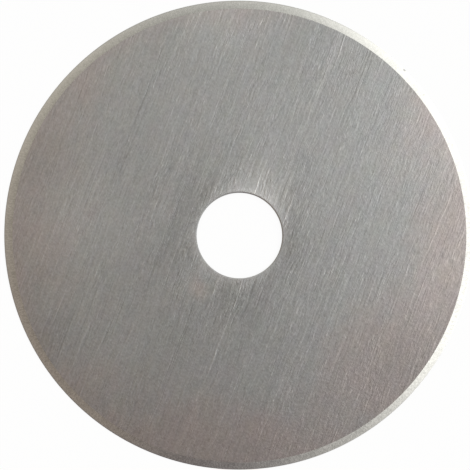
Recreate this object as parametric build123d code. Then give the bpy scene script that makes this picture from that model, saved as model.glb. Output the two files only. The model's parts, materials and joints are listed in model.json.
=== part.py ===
from build123d import *
import os

# Rotary cutter blade: one thin round of hardened tool steel, ground on both sides to a razor edge all
# the way round, with a plain round hole that turns on the boss of the cutter's handle.
# Frame: the origin is on the hole's axis, halfway through the steel, in the plane of the cutting edge.
# Z is the hole's axis. The blade lies flat, with its lower face half the thickness below the origin.

# Driving dimensions, in millimetres
outer_diameter = 45.0  # over the cutting edge
thickness = 0.30  # of the rolled strip that the blank is punched from
bore_diameter = 8.2  # turns on an 8 mm boss
bevel_width = 0.75  # seen from above, from the flat face out to the cutting edge
hone_width = 0.08  # the narrow outer facet that makes the edge, seen from above
hone_thickness = 0.05  # of the steel where the ground bevels end and the honed facets start
punch_roll_width = 0.15  # of the ring round the hole that the punch drew down, seen from above
punch_roll_depth = 0.02  # of that ring's lowest point, where it meets the wall of the hole
deburr_radius = 0.04  # where tumbling took the burr off the bottom edge of the hole


def blade_section():
    """Half of the blade's section, from the wall of the hole out to the cutting edge.

    The two ground bevels close in from the flat faces, each is cut short by a narrower and steeper
    honed facet, and the two facets meet in the cutting edge, halfway through the thickness. At the
    hole, the top face rolls down in an arc that leaves it without a corner and ends in one at the wall.
    """
    bore_radius = bore_diameter / 2
    edge_radius = outer_diameter / 2
    face_radius = edge_radius - bevel_width
    hone_radius = edge_radius - hone_width
    face_height = thickness / 2
    hone_height = hone_thickness / 2
    roll_start = (bore_radius + punch_roll_width, face_height)
    roll_end = (bore_radius, face_height - punch_roll_depth)

    with BuildSketch(Plane.XZ) as section:
        with BuildLine():
            TangentArc(roll_start, roll_end, tangent=(-1, 0))
            Polyline(
                roll_end,
                (bore_radius, -face_height),
                (face_radius, -face_height),
                (hone_radius, -hone_height),
                (edge_radius, 0),
                (hone_radius, hone_height),
                (face_radius, face_height),
                roll_start,
            )
        make_face()
        # The lowest point on the wall of the hole is the only corner that tumbling rounds
        burr_corner = section.vertices().group_by(Axis.X)[0].sort_by(Axis.Y)[0]
        fillet(burr_corner, deburr_radius)
    return section.sketch


def blade():
    """The blade, turned from its section about the axis of the hole."""
    return revolve(blade_section(), axis=Axis.Z)


os.makedirs("parts", exist_ok=True)
export_step(blade(), "parts/blade.step")
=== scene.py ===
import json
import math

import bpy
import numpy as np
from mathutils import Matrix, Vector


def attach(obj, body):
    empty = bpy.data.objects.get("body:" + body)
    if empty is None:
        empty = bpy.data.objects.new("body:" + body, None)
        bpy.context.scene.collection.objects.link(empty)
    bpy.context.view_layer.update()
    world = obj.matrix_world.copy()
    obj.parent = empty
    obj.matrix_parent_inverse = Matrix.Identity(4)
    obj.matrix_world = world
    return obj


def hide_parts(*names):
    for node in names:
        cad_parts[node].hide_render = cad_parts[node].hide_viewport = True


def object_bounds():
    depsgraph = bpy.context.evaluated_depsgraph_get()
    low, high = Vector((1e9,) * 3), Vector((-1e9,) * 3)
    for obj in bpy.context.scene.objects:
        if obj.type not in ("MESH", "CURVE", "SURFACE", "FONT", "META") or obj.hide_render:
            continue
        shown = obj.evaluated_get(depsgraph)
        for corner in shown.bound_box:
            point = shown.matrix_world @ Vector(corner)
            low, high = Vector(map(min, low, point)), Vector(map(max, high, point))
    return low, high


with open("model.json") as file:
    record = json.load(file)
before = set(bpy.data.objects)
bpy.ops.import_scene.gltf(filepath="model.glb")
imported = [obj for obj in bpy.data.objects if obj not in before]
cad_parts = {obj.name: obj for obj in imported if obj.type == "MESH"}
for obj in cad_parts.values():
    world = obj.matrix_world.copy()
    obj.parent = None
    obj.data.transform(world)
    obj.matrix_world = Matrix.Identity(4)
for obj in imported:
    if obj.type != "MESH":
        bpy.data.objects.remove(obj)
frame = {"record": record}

# %% [markdown]
# # A rotary cutter blade
#
# The real thing is one round of hardened tool steel, about as thick as a business card, with a hole in
# the middle and a razor edge all the way round. There is nothing to assemble, so the whole likeness
# lies in two things: the true section of the steel, and the marks that the grinding left on it.
#
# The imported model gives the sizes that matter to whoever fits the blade: the diameter over the edge,
# the thickness and the hole. They are read from it here, so that this lesson never argues with it.

MM = 0.001
cad_low, cad_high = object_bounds()
EDGE_R = max(cad_high.x, cad_high.y)
HALF_T = cad_high.z
bore_mount = next(m for m in frame["record"]["mounts"] if m["name"] == "arbor_bore")
BORE_R = bore_mount["dims"]["r_mm"] * MM
print(f"radius over the edge {EDGE_R / MM:.2f} mm, of the hole {BORE_R / MM:.2f} mm")
print(f"half the thickness {HALF_T / MM:.3f} mm")

# %% [markdown]
# ## The section of the steel
#
# Cut the blade in half and look at the cut. From the hole outwards there is a straight wall, a top
# corner that the punch dragged down as it went through, the flat face, the ground bevel, and at the
# very rim a facet under a tenth of a millimetre wide that the last, finest stone put on. The bottom is
# the same, but its corner at the hole was only tumbled to take the burr off.
#
# A cylinder with bevelled edges would come close, but it couldn't hold the drawn-down corner, and its
# bevel would be the same width all the way round. So the section is written out as short stretches,
# each with as many points as its shape needs, and is then carried round the axis.

# %% The lengths along the section
BEVEL = 0.75 * MM
HONE = 0.08 * MM
HONE_HALF_T = 0.025 * MM
ROLL_WIDTH = 0.15 * MM
ROLL_DEPTH = 0.02 * MM
DEBURR = 0.04 * MM
FACE_R = EDGE_R - BEVEL
HONE_R = EDGE_R - HONE
bevel_slope = math.atan2(HALF_T - HONE_HALF_T, BEVEL - HONE)
print(f"each bevel slopes {math.degrees(bevel_slope):.1f} degrees")


# %% Stretches of the section
def straight(start, end, steps):
    """Points from start up to, but not at, end: start plus equal shares of the way there."""
    share = np.arange(steps)[:, None] / steps
    return np.array(start) + share * (np.array(end) - np.array(start))


def arc(centre, radius, first, last, steps):
    """Points on a circle in the section: centre plus radius times cosine and sine of even angles."""
    angle = np.radians(first + (last - first) * np.arange(steps) / steps)
    return np.array(centre) + radius * np.stack([np.cos(angle), np.sin(angle)], axis=1)


def face_stretch(inner, outer, height, steps):
    """A flat face from inner to outer: its rings crowd towards both ends, as half a cosine wave does."""
    share = (1 - np.cos(np.pi * np.arange(steps) / steps)) / 2
    radius = inner + share * (outer - inner)
    return np.stack([radius, np.full(steps, height)], axis=1)


def blade_section():
    """The closed section, anticlockwise from the top of the hole's wall, as (finish, points) stretches.

    The punch's roll is a circle that touches the flat face where the roll starts, so its radius is
    half of (width squared plus depth squared) over depth. The last number of each stretch is how many
    points it has.
    """
    roll_r = (ROLL_WIDTH**2 + ROLL_DEPTH**2) / (2 * ROLL_DEPTH)
    roll_turn = math.degrees(math.asin(ROLL_WIDTH / roll_r))
    roll_centre = (BORE_R + ROLL_WIDTH, HALF_T - roll_r)
    burr_centre = (BORE_R + DEBURR, DEBURR - HALF_T)
    wall_foot, wall_top = (BORE_R, DEBURR - HALF_T), (BORE_R, HALF_T - ROLL_DEPTH)
    return [
        ("bore", straight(wall_top, wall_foot, 4)),
        ("bore", arc(burr_centre, DEBURR, 180, 270, 4)),
        ("face", face_stretch(BORE_R + DEBURR, FACE_R, -HALF_T, 14)),
        ("bevel", straight((FACE_R, -HALF_T), (HONE_R, -HONE_HALF_T), 3)),
        ("hone", straight((HONE_R, -HONE_HALF_T), (EDGE_R, 0), 2)),
        ("hone", straight((EDGE_R, 0), (HONE_R, HONE_HALF_T), 2)),
        ("bevel", straight((HONE_R, HONE_HALF_T), (FACE_R, HALF_T), 3)),
        ("face", face_stretch(FACE_R, BORE_R + ROLL_WIDTH, HALF_T, 18)),
        ("face", arc(roll_centre, roll_r, 90, 90 + roll_turn, 8)),
    ]


stretches = blade_section()
print("points along the section:", sum(len(points) for _, points in stretches))

# %% [markdown]
# ## Carrying the section round
#
# A perfect turning would give a bevel of one even width. The real blank, with its hole, sat a hair off
# centre while the edge was ground, so the bevel is wider on one side than on the other. The punch
# leant too, and drew the rim of the hole down more on one side. And the edge has one tiny nick. All
# three are functions of the angle and the radius, so they are added as the rings are placed.
#
# The whole surface is one grid: angle along one way, the section along the other, both closed. Nothing
# is capped and nothing is merged, because the section meets itself and the last angle meets the first.

# %% The small faults
TURNS = 1440
RUNOUT = 0.075 * MM
RUNOUT_TOWARDS = math.radians(-34)
BLANK_X, BLANK_Y = RUNOUT * math.cos(RUNOUT_TOWARDS), RUNOUT * math.sin(RUNOUT_TOWARDS)
PUNCH_LEAN = 0.8
PUNCH_TOWARDS = math.radians(45)
NICK_AT = math.radians(44.9)
NICK_WIDTH = 0.10 * MM
NICK_DEPTH = 0.03 * MM


def roll_share(angle):
    """The roll's depth over its mean depth: 1 plus the lean times the cosine of the way round to it."""
    return 1 + PUNCH_LEAN * np.cos(angle - PUNCH_TOWARDS)


def nick_depth(angle):
    """How deep the edge is nicked: the nick's depth times a bell curve of the way along the edge."""
    along_edge = (angle - NICK_AT) * EDGE_R
    return NICK_DEPTH * np.exp(-((along_edge / NICK_WIDTH) ** 2))


print(f"the faces lie {RUNOUT / MM:.3f} mm off centre, and the nick is {NICK_DEPTH / MM:.2f} mm deep")


# %% The surface on its grid
def blade_surface():
    """Points of the surface, angle by section: (r cos a, r sin a, z), with the faults added.

    The blank's offset acts in full on the hole and the faces and fades to nothing over the bevel, so
    the bevel stays straight. The nick acts on the edge itself. The punch's lean deepens or lessens the
    drop of the roll, and the upper half of the wall below it moves as far as the roll's lowest point.
    """
    section = np.concatenate([points for _, points in stretches])
    radius, height = section.T
    blank = np.clip((HONE_R - radius) / (HONE_R - FACE_R), 0, 1)
    on_edge = np.isclose(radius, EDGE_R)
    angle = 2 * np.pi * np.arange(TURNS) / TURNS
    nicked = radius - on_edge * nick_depth(angle)[:, None]
    x = nicked * np.cos(angle)[:, None] + blank * BLANK_X
    y = nicked * np.sin(angle)[:, None] + blank * BLANK_Y
    on_roll = (radius < BORE_R + ROLL_WIDTH) & (height > 0)
    drop = np.where(on_roll, np.minimum(HALF_T - height, ROLL_DEPTH), 0)
    z = height + drop * (1 - roll_share(angle)[:, None])
    return np.stack([x, y, z], axis=-1)


def closed_quads(turns, rings):
    """Corners of every quad of a grid that closes on itself both ways, wound so that it faces outwards."""
    turn, ring = np.meshgrid(np.arange(turns), np.arange(rings), indexing="ij")
    next_turn, next_ring = (turn + 1) % turns, (ring + 1) % rings
    here, onward = turn * rings, next_turn * rings
    corners = [here + ring, onward + ring, onward + next_ring, here + next_ring]
    return np.stack(corners, axis=-1).reshape(-1, 4)


surface = blade_surface()
quads = closed_quads(*surface.shape[:2])
print(f"{surface.shape[0]} angles by {surface.shape[1]} rings, {len(quads)} quads")


# %% The mesh
def mesh_from(name, points, faces):
    """A mesh of quads from arrays, put in whole: coordinates, corner indices and face starts."""
    mesh = bpy.data.meshes.new(name)
    mesh.vertices.add(len(points))
    mesh.vertices.foreach_set("co", points.astype(np.float32).ravel())
    mesh.loops.add(faces.size)
    mesh.loops.foreach_set("vertex_index", faces.astype(np.int32).ravel())
    mesh.polygons.add(len(faces))
    mesh.polygons.foreach_set("loop_start", np.arange(0, faces.size, 4, dtype=np.int32))
    mesh.update(calc_edges=True)
    mesh.validate()
    return mesh


blade_mesh = mesh_from("blade_mesh", surface.reshape(-1, 3), quads)
blade = bpy.data.objects.new("blade_ground", blade_mesh)
bpy.context.scene.collection.objects.link(blade)
print("triangles:", 2 * len(blade_mesh.polygons))

# %% [markdown]
# ## Which way is smooth
#
# Each stretch of the section is smooth round the axis, but the corners between the face, the bevel and
# the facet are crisp: they are what catches the light. So every face is shaded smooth, and the rings of
# edges that lie on a corner are marked sharp. Three stretches start without a corner: the tumbled foot
# of the wall, the bottom face that follows it, and the punch's roll.

# %% Smooth faces, sharp corners
ring_finish = np.array([name for name, points in stretches for _ in points])
corner_rings = np.cumsum([0] + [len(points) for _, points in stretches[:-1]])
SOFT_JOINS = (1, 2, 8)
sharp_rings = np.delete(corner_rings, SOFT_JOINS)

rings = surface.shape[1]
ends = np.empty(2 * len(blade_mesh.edges), dtype=np.int32)
blade_mesh.edges.foreach_get("vertices", ends)
ring_of = (ends % rings).reshape(-1, 2)
is_sharp = (ring_of[:, 0] == ring_of[:, 1]) & np.isin(ring_of[:, 0], sharp_rings)
blade_mesh.shade_smooth()
attributes = blade_mesh.attributes
sharp = attributes.get("sharp_edge") or attributes.new("sharp_edge", "BOOLEAN", "EDGE")
sharp.data.foreach_set("value", is_sharp)
print("sharp edges:", int(is_sharp.sum()))

# %% [markdown]
# ## Arithmetic that makes nodes
#
# A finish is a small calculation at every point of the surface. Written with nodes alone it is hard to
# read, so one class wraps a socket, and plus, times and the rest add the Math node that works them out.


# %% Wires
class Wire:
    """A value that comes out of a node. Arithmetic on it adds Math nodes."""

    def __init__(self, bench, socket):
        self.bench, self.socket = bench, socket

    def math(self, operation, *values):
        """A Math node of this operation on one value or more."""
        sockets = dict(enumerate(values))
        return self.bench.node("Math", {"operation": operation}, sockets)

    def __add__(self, other):
        return self.math("ADD", self, other)

    def __sub__(self, other):
        return self.math("SUBTRACT", self, other)

    def __mul__(self, other):
        return self.math("MULTIPLY", self, other)

    def __truediv__(self, other):
        return self.math("DIVIDE", self, other)

    def __rsub__(self, other):
        return self.math("SUBTRACT", other, self)

    __radd__, __rmul__ = __add__, __mul__

    def __pow__(self, power):
        return self.math("POWER", self, power)

    def rise(self, low, high):
        """0 below low, 1 above high, and an S-shaped curve between them. It falls if low is above high."""
        settings = {"interpolation_type": "SMOOTHSTEP"}
        return self.bench.node("MapRange", settings, {"Value": self, "From Min": low, "From Max": high})


# %% The bench that wires are joined on
class Bench:
    """The node tree of a finish, or of the sky, where nodes are made and joined."""

    def __init__(self, tree):
        self.tree = tree
        tree.nodes.clear()

    def node(self, kind, settings=None, sockets=None, out=0):
        """Adds a node: first its settings, then the values or wires of its sockets. Gives one output."""
        made = self.tree.nodes.new("ShaderNode" + kind)
        for name, value in (settings or {}).items():
            setattr(made, name, value)
        for name, value in (sockets or {}).items():
            if isinstance(value, Wire):
                self.tree.links.new(made.inputs[name], value.socket)
            else:
                made.inputs[name].default_value = value
        return Wire(self, made.outputs[out])

    def end(self, kind, surface):
        """Ends the tree: adds its output node and joins the surface to it."""
        last = self.tree.nodes.new("ShaderNodeOutput" + kind)
        self.tree.links.new(last.inputs["Surface"], surface.socket)

    def vector(self, operation, first, second=None, out=0):
        """A Vector Math node on one vector or two. Its output 1 is a number, such as a length."""
        sockets = {0: first} if second is None else {0: first, 1: second}
        return self.node("VectorMath", {"operation": operation}, sockets, out)

    def mix(self, share, first, second, blend="MIX"):
        """The first colour, turned into the second by share, or blended with it some other way."""
        settings = {"data_type": "RGBA", "blend_type": blend}
        return self.node("Mix", settings, {0: share, 6: first, 7: second}, out=2)

    def grey(self, value):
        """The same number as red, green and blue, so that a shade can multiply a colour."""
        return self.node("CombineColor", None, {"Red": value, "Green": value, "Blue": value})

    def noise(self, place, halvings=2, rough=0.5):
        """Random ups and downs about 0, a step of 1 apart along place, and again at half that, and so on."""
        sockets = {"Vector": place, "Scale": 1.0, "Detail": float(halvings), "Roughness": rough}
        return self.node("TexNoise", {"noise_dimensions": "3D"}, sockets) - 0.5


# %% [markdown]
# ## The belt-ground faces
#
# The strip was run under an abrasive belt, which left straight lines all one way. Most are about a
# seventh of a millimetre wide, and they come in every length, from the long scratch of a coarse grain
# to marks only a few times as long as wide. So one kind of line is made in several sizes, and these
# are added up. Each size comes in bunches, the whole wanders a little, and a fine grain lies on top.
# The sum darkens or lightens the steel, and it is the height of the bump too, so the lines turn the
# light.
#
# Larger things lie under them. Round the hole the belt bore hard on the two rims that it met head on
# and lightly on the two that it ran along, and a painted sheen lies there: a bright tail at each end
# of the hole and a bright rim close round it. Here and there painted light and shade make the steel
# brighter or darker, over a few millimetres or as much as two centimetres. And it carries a faint
# tint, greyer in the middle and rosier towards the rim.
#
# A picture of brushed steel laid over the face would be quicker, but it would hold one size of mark
# and would repeat. Worked out at every point, the marks stay sharp from close by and never repeat.

# %% Places on the face
PER_MM = 1 / MM
BRUSHING = math.radians(69)


def brushed_place(bench):
    """The place in millimetres from the hole's axis, turned so that x runs along the lines and y across."""
    place = bench.vector("SUBTRACT", bench.node("TexCoord", out="Object"), (BLANK_X, BLANK_Y, 0))
    turned = {"Vector": place, "Rotation": (0, 0, -BRUSHING), "Scale": (PER_MM, PER_MM, PER_MM)}
    return bench.node("Mapping", {"vector_type": "POINT"}, turned)


def towards(bench, place, direction):
    """How far a place lies in a direction, given in radians from the place's own x: the dot product."""
    return bench.vector("DOT_PRODUCT", place, (math.cos(direction), math.sin(direction), 0), out=1)


def from_axis(bench, place):
    """The distance from the place's own axis, in millimetres: the length of x and y."""
    return bench.vector("LENGTH", bench.vector("MULTIPLY", place, (1, 1, 0)), out=1)


print(f"the belt ran {math.degrees(BRUSHING):.0f} degrees round from the right")


# %% Streaks in bunches
# How many steps the noise makes in a millimetre: along the lines, across them and through the steel
BUNCH_STEPS = (0.15, 0.8, 0.5)
STEPS_THROUGH = 9.0
PLAIN = 0.6
BUNCH_MEAN, BUNCH_SWING = 0.8, 2.4


def lines(bench, place, length, width, lean, stand_out, shift):
    """Streaks in bunches, of a length and a width in millimetres, leaning by lean degrees.

    With n the noise, a streak is n times (plain plus stand_out n squared): the cube lets a few stand
    out of many. A second noise, b, drawn out along the lines, makes the bunches: each streak is
    multiplied by their mean plus their swing times b.
    """
    sockets = {"Vector": place, "Location": (shift, shift, shift), "Rotation": (0, 0, math.radians(lean))}
    leaned = bench.node("Mapping", {"vector_type": "POINT"}, sockets)
    steps = (1 / length, 1 / width, STEPS_THROUGH)
    streak = bench.noise(bench.vector("MULTIPLY", leaned, steps), 1, 0.45)
    bunch = bench.noise(bench.vector("MULTIPLY", leaned, BUNCH_STEPS))
    return streak * (streak * streak * stand_out + PLAIN) * (bunch * BUNCH_SWING + BUNCH_MEAN)


print(f"bunches about {1 / BUNCH_STEPS[0]:.0f} mm long and {1 / BUNCH_STEPS[1]:.1f} mm wide")


# %% What the belt did round the hole, and the painted sheen there
TAILS_LEAN = math.radians(-2)
TAILS_REACH = 2.6
RIM_WIDTH = 0.58


def round_the_hole(bench, place):
    """How near the hole is, and the tails' and rim's painted sheen, all from the distance d to the hole's
    wall.

    The nearness L is 1 over 1 plus (d over the reach) squared. With a the angle from the tails' own
    direction, they are cos(a) L + (1.5 cos(2a) + 0.7 cos(3a)) L squared. The rim is e to the power of
    minus (d over the rim's width) to the power of 1.8.
    """
    radius = from_axis(bench, place)
    cosine = towards(bench, place, TAILS_LEAN) / radius
    away = radius - BORE_R * PER_MM
    reach = away / TAILS_REACH
    near = (reach * reach + 1) ** -1.0
    twice = cosine * cosine * 2 - 1
    thrice = cosine * (twice * 2 - 1)
    # The tails and the rim are painted sheen, brightening the colour round the hole
    tails = near * cosine + near * near * (twice * 1.5 + thrice * 0.7)
    rim = (away.math("MAXIMUM", away, 0.0) / RIM_WIDTH) ** 1.8 * -1.0
    return near, tails, rim.math("EXPONENT", rim)


print(f"the tails reach {TAILS_REACH} mm from the wall, and the bright rim {RIM_WIDTH} mm")


# %% Painted light and shade, and greyer and rosier places
# Each is x and y from the hole's axis, and its reach, all in millimetres, and how much it adds to the
# shade or to the rosy tint
# Painted light and shade: soft lighter and darker places in the face's colour, where the steel mirrors the
# room
PAINTED_LIGHT_AND_SHADE = {
    "painted light, left of the hole": (-15, 1, 8.5, 0.13),
    "painted light, top edge": (-1.5, 21.5, 6.5, 0.11),
    "painted light, right edge, upper": (22, 10, 8.5, 0.13),
    "painted light, right edge, lower": (21, -2.5, 8, 0.06),
    "painted shade, lower right": (17, -13, 9, -0.09),
    "painted shade, upper right": (8, 19, 9, -0.045),
    "painted light, lower left": (-12.5, -10.5, 7.5, 0.075),
    "painted light, bottom": (2, -15, 6, 0.035),
    "painted shade, below the hole": (0, -6.5, 4, -0.085),
    "painted shade, above the hole": (-1.5, 7, 4.5, -0.055),
    "painted light, end of the lower tail": (-3.5, -4.9, 2.6, 0.12),
    "painted light, end of the upper tail": (2.5, 6.5, 2, 0.05),
    "painted shade, right of the hole": (5.3, 3.4, 2.8, -0.085),
    "painted shade, right of the upper tail": (5.7, 6.8, 3.4, -0.06),
    "painted light, top of the upper tail": (4.1, 8.9, 2.2, 0.045),
    "painted shade, close on the left of the hole": (-5.9, -1.8, 3, -0.08),
    "painted shade, upper left of the hole": (-4.0, 4.8, 2.6, -0.05),
    "painted light, further left of the hole": (-7.0, 2.3, 2.5, 0.06),
    "painted shade, left edge": (-19, 6.5, 5, -0.055),
    "painted light, low on the left": (-16.3, -5.5, 4, 0.06),
    "painted shade, lower left edge": (-18.8, -9.5, 3, -0.055),
    "painted light, well below the hole": (-5.2, -13.7, 5, 0.04),
}
ROSY = {
    "grey, upper right": (9, 16.5, 11, -0.40),
    "grey, upper left": (-5.5, 16, 11, -0.25),
    "rosy, bottom": (-1.5, -21.5, 11, 0.31),
    "rosy, lower right": (12, -10, 10, 0.27),
    "rosy, right edge": (21.5, -2, 8, 0.24),
    "rosy, left": (-14, 0, 10.5, 0.04),
    "rosy, lower left of the hole": (-3.7, -5.0, 2.8, 0.65),
    "rosy, below the hole": (0.0, -5.2, 2.2, 0.45),
    "grey, lower left": (-17, -9.5, 7, -0.16),
}


def soft_places(bench, place, places):
    """Adds up soft round places: each is full at its middle and nothing at its reach.

    They are listed by the blade's own x and y, so each middle is turned to the lines first.
    """
    turn = np.array([[math.cos(BRUSHING), math.sin(BRUSHING)], [-math.sin(BRUSHING), math.cos(BRUSHING)]])
    flat = bench.vector("MULTIPLY", place, (1, 1, 0))
    total = 0.0
    for x, y, reach, height in places.values():
        middle = (*(turn @ (x, y)), 0.0)
        total = bench.vector("DISTANCE", flat, middle, out=1).rise(reach, 0.0) * height + total
    return total


print(f"{len(PAINTED_LIGHT_AND_SHADE)} lighter or duller places, {len(ROSY)} greyer or rosier ones")


# %% How a finish starts and ends
def new_finish(name):
    """A material with an empty bench."""
    material = bpy.data.materials.new(name)
    material.use_nodes = True
    return material, Bench(material.node_tree)


def finish_with(bench, settings):
    """Ends a finish in one Principled shader."""
    bench.end("Material", bench.node("BsdfPrincipled", None, settings))


# %% The marks of the belt
# Each size of line: its length and width in millimetres, its lean in degrees, how far a few of them
# stand out of the rest, and its share of the marks
LINES = [
    (14.0, 1.2, 0.0, 0, 0.17),
    (14.0, 0.13, 0.5, 20, 0.27),
    (4.0, 0.15, -2.0, 16, 0.20),
    (1.6, 0.14, 1.5, 8, 0.26),
    (0.6, 0.13, 0.0, 5, 0.57),
]
APART = 31.0
WANDER, WANDER_STEPS = 0.35, (0.35, 0.35, 1.0)
GRAIN, GRAIN_STEPS = 0.30, (4.5, 4.5, 9.0)
PRESS_LEAN = 0.12
PRESS_AT_HOLE = 0.8
SMOOTH_RIM = 0.35


def belt_marks(bench, place, near):
    """The marks, as ups and downs about 0: (grain plus lines times press) times worn.

    The lines are read from places that a slow noise moves sideways, each size from a part of the noise
    far from the others. The press was lighter on the left and heavier near the hole, and worn goes from
    0 at the wall of the hole to 1 where its smooth rim ends.
    """
    wander = bench.noise(bench.vector("MULTIPLY", place, WANDER_STEPS), 1) * WANDER
    wandering = bench.vector("ADD", place, bench.node("CombineXYZ", None, {"Y": wander}))
    marks = 0.0
    for i, (length, width, lean, stand_out, weight) in enumerate(LINES):
        marks = lines(bench, wandering, length, width, lean, stand_out, APART * i) * weight + marks
    leftwards = towards(bench, place, math.radians(90))
    press = 1.0 - leftwards * (PRESS_LEAN / (EDGE_R * PER_MM)) + near * PRESS_AT_HOLE
    grain = bench.noise(bench.vector("MULTIPLY", place, GRAIN_STEPS), 1, 0.4)
    worn = (from_axis(bench, place) - BORE_R * PER_MM).rise(0.0, SMOOTH_RIM)
    return (grain * GRAIN + marks * press) * worn


print(f"{len(LINES)} sizes of line, from {LINES[0][0]:.0f} mm long down to {LINES[-1][0]} mm")

# %% The tint of the steel
GREY_STEEL = (0.295, 0.291, 0.2835, 1)
ROSY_STEEL = (0.320, 0.285, 0.270, 1)
ROSY_FROM, ROSY_FULL = 0.62, 1.10
PATCHES_READ_AT = (190.0, 433.0, 0.0)
PATCHES, PATCH_STEPS = 0.5, (0.16, 0.24, 0.6)
SPECKLE, SPECKLE_STEPS = (0.10, 0.06, 0.12), (0.5, 0.7, 2.0)


def steel_tint(bench, place):
    """Grey steel that turns rosy as the rosiness rises, times a faint speckle of every colour.

    The rosiness is the share of the way out to the edge, plus a share of a patchy noise, plus the rosy
    places. The speckle swings each of red, green and blue by half its share, up and down about 1.
    """
    moved = bench.vector("ADD", place, PATCHES_READ_AT)
    patches = bench.noise(bench.vector("MULTIPLY", moved, PATCH_STEPS), 3, 0.6)
    outwards = from_axis(bench, place) / (EDGE_R * PER_MM)
    rosiness = outwards + patches * PATCHES + soft_places(bench, place, ROSY)
    steel = bench.mix(rosiness.rise(ROSY_FROM, ROSY_FULL), GREY_STEEL, ROSY_STEEL)
    spots = bench.vector("MULTIPLY", place, SPECKLE_STEPS)
    sockets = {"Vector": spots, "Scale": 1.0, "Detail": 3.0, "Roughness": 0.7}
    colours = bench.node("TexNoise", {"noise_dimensions": "3D"}, sockets, out="Color")
    swing = bench.vector("MULTIPLY", colours, SPECKLE)
    speckle = bench.vector("ADD", swing, tuple(1 - share / 2 for share in SPECKLE))
    return bench.mix(1.0, steel, speckle, "MULTIPLY")


print("grey and rosy steel:", GREY_STEEL[:3], ROSY_STEEL[:3])

# %% The finish of the faces
# How bright the painted sheen is in the tails at the ends of the hole and in the rim round it
TAIL_PAINTED_SHEEN = 0.12
RIM_PAINTED_SHEEN = 0.27
MARK_HEIGHT = 0.020 * MM


def face_finish():
    """The tint times a shade, over a bump of the marks' height.

    With m the marks, the shade is 1 plus m plus 0.6 m squared, because bright marks stand out more than
    dark ones, plus the painted sheen of the tails and the rim, and painted light and shade in soft places.
    """
    material, bench = new_finish("belt_ground_steel")
    place = brushed_place(bench)
    near, tails, rim = round_the_hole(bench, place)
    marks = belt_marks(bench, place, near)
    painted_places = soft_places(bench, place, PAINTED_LIGHT_AND_SHADE)
    # The shade holds the painted sheen round the hole and the painted light and shade of the soft places
    shade = 1 + marks * (marks * 0.6 + 1) + tails * TAIL_PAINTED_SHEEN + rim * RIM_PAINTED_SHEEN + painted_places
    bump = {"Strength": 1.0, "Distance": MARK_HEIGHT, "Height": marks}
    finish_with(bench, {
        "Base Color": bench.mix(1.0, steel_tint(bench, place), bench.grey(shade), "MULTIPLY"),
        "Metallic": 1.0,
        "Roughness": 0.30,
        "Normal": bench.node("Bump", None, bump),
    })
    print(f"{material.name}: {len(bench.tree.nodes)} nodes")
    return material


# %% [markdown]
# ## The bevel, the facet and the hole
#
# The bevel was ground by a wheel that crossed it, so its lines run outwards, close together and
# shorter than the belt's. It throws back more light than the face does. The honed facet has the same
# marks, finer and fainter. The wall of the hole was never ground: it is sheared steel, darker and
# duller.
#
# Lines that run outwards could be drawn on a map laid round the rim, but such a map has a seam where
# its ends meet. Here the noise is read along a circle instead, and a circle has no ends.
#
# At the nick a dark spot a quarter of a millimetre across is laid into the colour of the edge, with a
# fainter one beside it.


# %% Lines that run outwards
def outward_hatch(bench, pitch, slow, shift=0.0):
    """Lines that run outwards from the axis, pitch millimetres apart, and change along their length.

    The direction from the axis is a point on the unit circle. Noise read along a larger circle in that
    direction comes round without a seam. It makes slow steps in a millimetre along each line.
    """
    place = bench.vector("MULTIPLY", bench.node("TexCoord", out="Object"), (PER_MM,) * 3)
    outward = bench.vector("NORMALIZE", bench.vector("MULTIPLY", place, (1, 1, 0)))
    round_and_round = EDGE_R * PER_MM / pitch
    ring = bench.vector("MULTIPLY", outward, (round_and_round,) * 3)
    drift = bench.vector("MULTIPLY", place, (slow, slow, 4.0))
    moved = bench.vector("ADD", bench.vector("ADD", ring, drift), (shift, shift, shift))
    return bench.noise(moved)


# %% Spots at the edge
# Each is degrees round from x, millimetres in from the edge, its reach, and how dark its middle is
# Dark spots laid into the colour of the bevel and the facet at the edge
SPOTS = {
    "dark spot at the nick": (44.9, 0.03, 0.24, 0.62),
    "faint speck beside it": (37.2, 0.21, 0.20, 0.15),
}


def dark_spots(bench, place):
    """Adds up soft round spots, each full at its middle and nothing at its reach."""
    flat = bench.vector("MULTIPLY", place, (1, 1, 0))
    total = 0.0
    for degrees, inwards, reach, dark in SPOTS.values():
        radius, angle = EDGE_R * PER_MM - inwards, math.radians(degrees)
        middle = (radius * math.cos(angle), radius * math.sin(angle), 0.0)
        total = bench.vector("DISTANCE", flat, middle, out=1).rise(reach, 0.0) * dark + total
    return total


print("spots at the edge:", ", ".join(SPOTS))

# %% The finish of the bevel and the facet
# How much painted sheen brightens the outer half of each bevel
OUTER_PAINTED_SHEEN = 0.10
STREAKY_TOWARDS = math.radians(-80)
STREAKY_LEAN = 0.4
FINE_SLOW, BLOTCH_SLOW = 5.0, 0.4
COARSER = 9
BLOTCHES, BLOTCH_HEIGHT = 0.25, 2.0
BLOTCHES_READ_AT = 23.0
ROUGHER = 0.08
GLINT_STRETCH = 0.3


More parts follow.
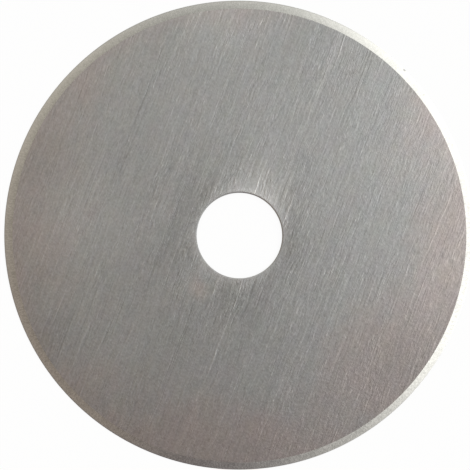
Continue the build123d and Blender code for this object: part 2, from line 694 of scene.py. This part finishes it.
def ground_finish(name, colour, roughness, pitch, contrast, depth, lean, sheen_towards):
    """Ground steel: fine marks, coarser blotches, and painted sheen that brightens the outer half.

    The outward share goes from -1/2 where the face ends to 1/2 at the edge. It brightens the steel by
    that share of a painted sheen, which leans, so that it is more on one side of the blade than on the
    other.
    The marks lean too, and are stronger at the bottom of the blade.
    """
    material, bench = new_finish(name)
    hatch = outward_hatch(bench, pitch, FINE_SLOW)
    blotches = outward_hatch(bench, pitch * COARSER, BLOTCH_SLOW, BLOTCHES_READ_AT)
    place = bench.vector("MULTIPLY", bench.node("TexCoord", out="Object"), (PER_MM,) * 3)
    outward = (from_axis(bench, place) - FACE_R * PER_MM) / (BEVEL * PER_MM) - 0.5
    side = towards(bench, place, sheen_towards) / (EDGE_R * PER_MM)
    # Painted sheen: the outer half of the bevel is brightened in its colour, more on one side of the blade
    painted_sheen = outward * (side * lean + OUTER_PAINTED_SHEEN)
    stronger = 1 + towards(bench, place, STREAKY_TOWARDS) * (STREAKY_LEAN / (EDGE_R * PER_MM))
    shade = 1 + (hatch + blotches * BLOTCHES) * contrast * stronger + painted_sheen
    shade = shade * (1 - dark_spots(bench, place))
    bump = {"Strength": 1.0, "Distance": depth, "Height": hatch + blotches * BLOTCH_HEIGHT}
    finish_with(bench, {
        "Base Color": bench.mix(1.0, colour, bench.grey(shade), "MULTIPLY"),
        "Metallic": 1.0,
        "Roughness": roughness + hatch * ROUGHER,
        "Anisotropic": GLINT_STRETCH,
        "Normal": bench.node("Bump", None, bump),
    })
    print(f"{name}: {len(bench.tree.nodes)} nodes")
    return material


# The lean below tips the painted sheen on the outer half of each bevel towards one side of the blade
bevel_finish = ground_finish(
    "ground_bevel_steel",
    colour=(0.536, 0.525, 0.495, 1),
    roughness=0.25,
    pitch=0.30,
    contrast=0.74,
    depth=0.0006 * MM,
    lean=0.16,
    sheen_towards=math.radians(130),
)
hone_finish = ground_finish(
    "honed_edge_steel",
    colour=(0.515, 0.504, 0.482, 1),
    roughness=0.30,
    pitch=0.20,
    contrast=0.35,
    depth=0.0004 * MM,
    lean=0.40,
    sheen_towards=math.radians(20),
)


# %% The finish of the hole
SHEARED_STEEL = (0.27, 0.26, 0.25, 1)
SHEAR_STEPS = 9.0
SHEAR_SHADE, SHEAR_ROUGHNESS = 0.3, 0.2


def bore_finish():
    """The wall of the hole: dark steel with a coarse noise in its shade and its roughness."""
    material, bench = new_finish("punched_steel")
    place = bench.vector("MULTIPLY", bench.node("TexCoord", out="Object"), (SHEAR_STEPS * PER_MM,) * 3)
    shear = bench.noise(place, 3)
    steel = bench.mix(1.0, SHEARED_STEEL, bench.grey(1 + shear * SHEAR_SHADE), "MULTIPLY")
    roughness = 0.42 + shear * SHEAR_ROUGHNESS
    finish_with(bench, {"Base Color": steel, "Metallic": 1.0, "Roughness": roughness})
    print(f"{material.name}: {len(bench.tree.nodes)} nodes")
    return material


# %% Each stretch of the section gets its finish
finishes = {"face": face_finish(), "bevel": bevel_finish, "hone": hone_finish, "bore": bore_finish()}
for finish in finishes.values():
    blade_mesh.materials.append(finish)
order = list(finishes)
quad_finish = np.tile([order.index(name) for name in ring_finish], TURNS).astype(np.int32)
blade_mesh.polygons.foreach_set("material_index", quad_finish)
print({name: int((quad_finish == i).sum()) for i, name in enumerate(order)})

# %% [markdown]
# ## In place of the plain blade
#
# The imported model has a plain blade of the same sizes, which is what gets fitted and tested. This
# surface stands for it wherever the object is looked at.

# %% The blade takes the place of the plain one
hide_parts("blade")
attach(blade, "root")
print(f"{blade.name} stands for the packed blade")

# %% [markdown]
# ## The light
#
# A flat sheet of metal shows the room above it and little else, so the room is the picture. Seen from
# straight above, the face mirrors the patch of sky round the camera, and the bevel mirrors a ring
# about thirty degrees out from it. A wide soft window stands on the right and a dimmer doorway below
# it, a patch of ceiling is lit near the zenith, a pale wall rises at the top and a warm one on the
# left. The rest of the room is dim.
#
# Lamps could stand in these places, but steel would show their hard rims. So each light is a round
# patch of sky with a soft rim: how near a direction is to the patch's centre is one dot product, and
# a smooth step turns that into brightness. The room's pale lower walls are added the same way, by
# height above the floor. Together they light a white card to about nine tenths of white.

# %% Soft lights in the sky
ROOM = (0.225, 0.200, 0.212)
# Each is degrees round from x, degrees from straight up, the radius of its full part and the width of
# its soft rim, both in degrees too, and its colour
LIGHTS = {
    "window": (11, 43.5, 23.5, 17, (1.69, 1.73, 1.72)),
    "doorway": (-48.5, 43, 16.5, 8, (0.51, 0.53, 0.50)),
    "ceiling": (66, 10.5, 13, 8.5, (0.49, 0.515, 0.528)),
    "pale wall": (92, 62, 15.5, 63, (0.415, 0.44, 0.40)),
    "warm wall": (183.5, 37, 30, 8, (0.205, 0.17, 0.111)),
}
WALLS = (0.55, 0.53, 0.50)
WALLS_FULL, WALLS_GONE = 0.05, 0.40


def light_sky(world):
    """Adds up the room's level and each patch: its colour times a smooth step of the dot product."""
    bench = Bench(world.node_tree)
    gaze = bench.vector("NORMALIZE", bench.node("TexCoord", out="Generated"))
    sky = (*ROOM, 1.0)
    for bearing, from_zenith, full, soft, colour in LIGHTS.values():
        a, z = math.radians(bearing), math.radians(from_zenith)
        centre = (math.cos(a) * math.sin(z), math.sin(a) * math.sin(z), math.cos(z))
        near = bench.vector("DOT_PRODUCT", gaze, centre, out=1)
        share = near.rise(math.cos(math.radians(full + soft)), math.cos(math.radians(full)))
        patch = bench.mix(share, (0, 0, 0, 1), (*colour, 1.0))
        sky = bench.mix(1.0, sky, patch, "ADD")
    height = bench.vector("DOT_PRODUCT", gaze, (0, 0, 1), out=1)
    low = height.rise(WALLS_GONE, WALLS_FULL)
    sky = bench.mix(1.0, sky, bench.mix(low, (0, 0, 0, 1), (*WALLS, 1.0)), "ADD")
    shown = bench.node("Background", None, {"Color": sky, "Strength": 1.0})
    bench.end("World", shown)


world = bpy.data.worlds.new("studio")
world.use_nodes = True
light_sky(world)
bpy.context.scene.world = world
print("lights in the sky:", ", ".join(LIGHTS))

# %% [markdown]
# ## The floor
#
# The blade lies on a white sheet. The sheet shows as white to the camera and in the steel, and keeps a
# share of its real shading, so that the thin shadow under the rim stays. It is there only from above:
# from below it lets the light and the eye through, so the underside can be looked at. It lies a
# hundredth of a millimetre under the steel, because two surfaces in one plane show through each other.

# %% A white floor that keeps its shadow
FLOOR_HALF = 2.0
PAPER = (0.96, 0.96, 0.96, 1)
SHOWN_WHITE = 0.92
FLOOR_GAP = 0.01 * MM


def white_sheet():
    """White to the eye and in the steel, plain paper to all other light, and nothing from below."""
    material, bench = new_finish("white_sheet")
    looked_at = 0.0
    for ray in ("Is Camera Ray", "Is Glossy Ray", "Is Transmission Ray"):
        looked_at = bench.node("LightPath", out=ray) + looked_at
    paper = bench.node("BsdfDiffuse", None, {"Color": PAPER})
    white = bench.node("Emission", None, {"Color": (1, 1, 1, 1), "Strength": 1.0})
    both = bench.node("MixShader", None, {0: looked_at * SHOWN_WHITE, 1: paper, 2: white})
    from_below = bench.node("NewGeometry", out="Backfacing")
    nothing = bench.node("BsdfTransparent")
    bench.end("Material", bench.node("MixShader", None, {0: from_below, 1: both, 2: nothing}))
    return material


corners = FLOOR_HALF * np.array([(-1, -1, 0), (1, -1, 0), (1, 1, 0), (-1, 1, 0)], dtype=float)
corners[:, 2] = cad_low.z - FLOOR_GAP
floor_mesh = mesh_from("floor_mesh", corners, np.array([[0, 1, 2, 3]]))
floor_mesh.materials.append(white_sheet())
floor = bpy.data.objects.new("floor", floor_mesh)
bpy.context.scene.collection.objects.link(floor)
print(f"the sheet lies {FLOOR_GAP / MM:.2f} mm under the blade")

# %% [markdown]
# ## The camera
#
# The photograph looks straight down: the edge is a true circle to one part in a thousand. It fills the
# frame, a few pixels right of the middle, so its right side runs off the picture by three pixels. The
# lens follows from the camera's distance and the size that the radius has in the picture, and the
# camera itself stands a third of a millimetre to the left, so no lens shift is needed.

# %% The camera, straight above
FRAME_PX = 470
RADIUS_PX = 234.49
CENTRE_PX = (238.78, 235.12)
DISTANCE = 130 * MM
px_per_metre = RADIUS_PX / EDGE_R
eye = bpy.data.cameras.new("camera")
eye.sensor_fit = "HORIZONTAL"
eye.sensor_width = 36.0
eye.lens = px_per_metre * DISTANCE * eye.sensor_width / FRAME_PX
eye.clip_start, eye.clip_end = 1 * MM, 10.0
camera = bpy.data.objects.new("camera", eye)
left = (CENTRE_PX[0] - FRAME_PX / 2) / px_per_metre
up = (CENTRE_PX[1] - FRAME_PX / 2) / px_per_metre
camera.location = (-left, up, DISTANCE)
bpy.context.scene.collection.objects.link(camera)
bpy.context.scene.camera = camera
bpy.context.scene.view_settings.view_transform = "Standard"
print(f"lens {eye.lens:.1f} mm at {DISTANCE / MM:.0f} mm")
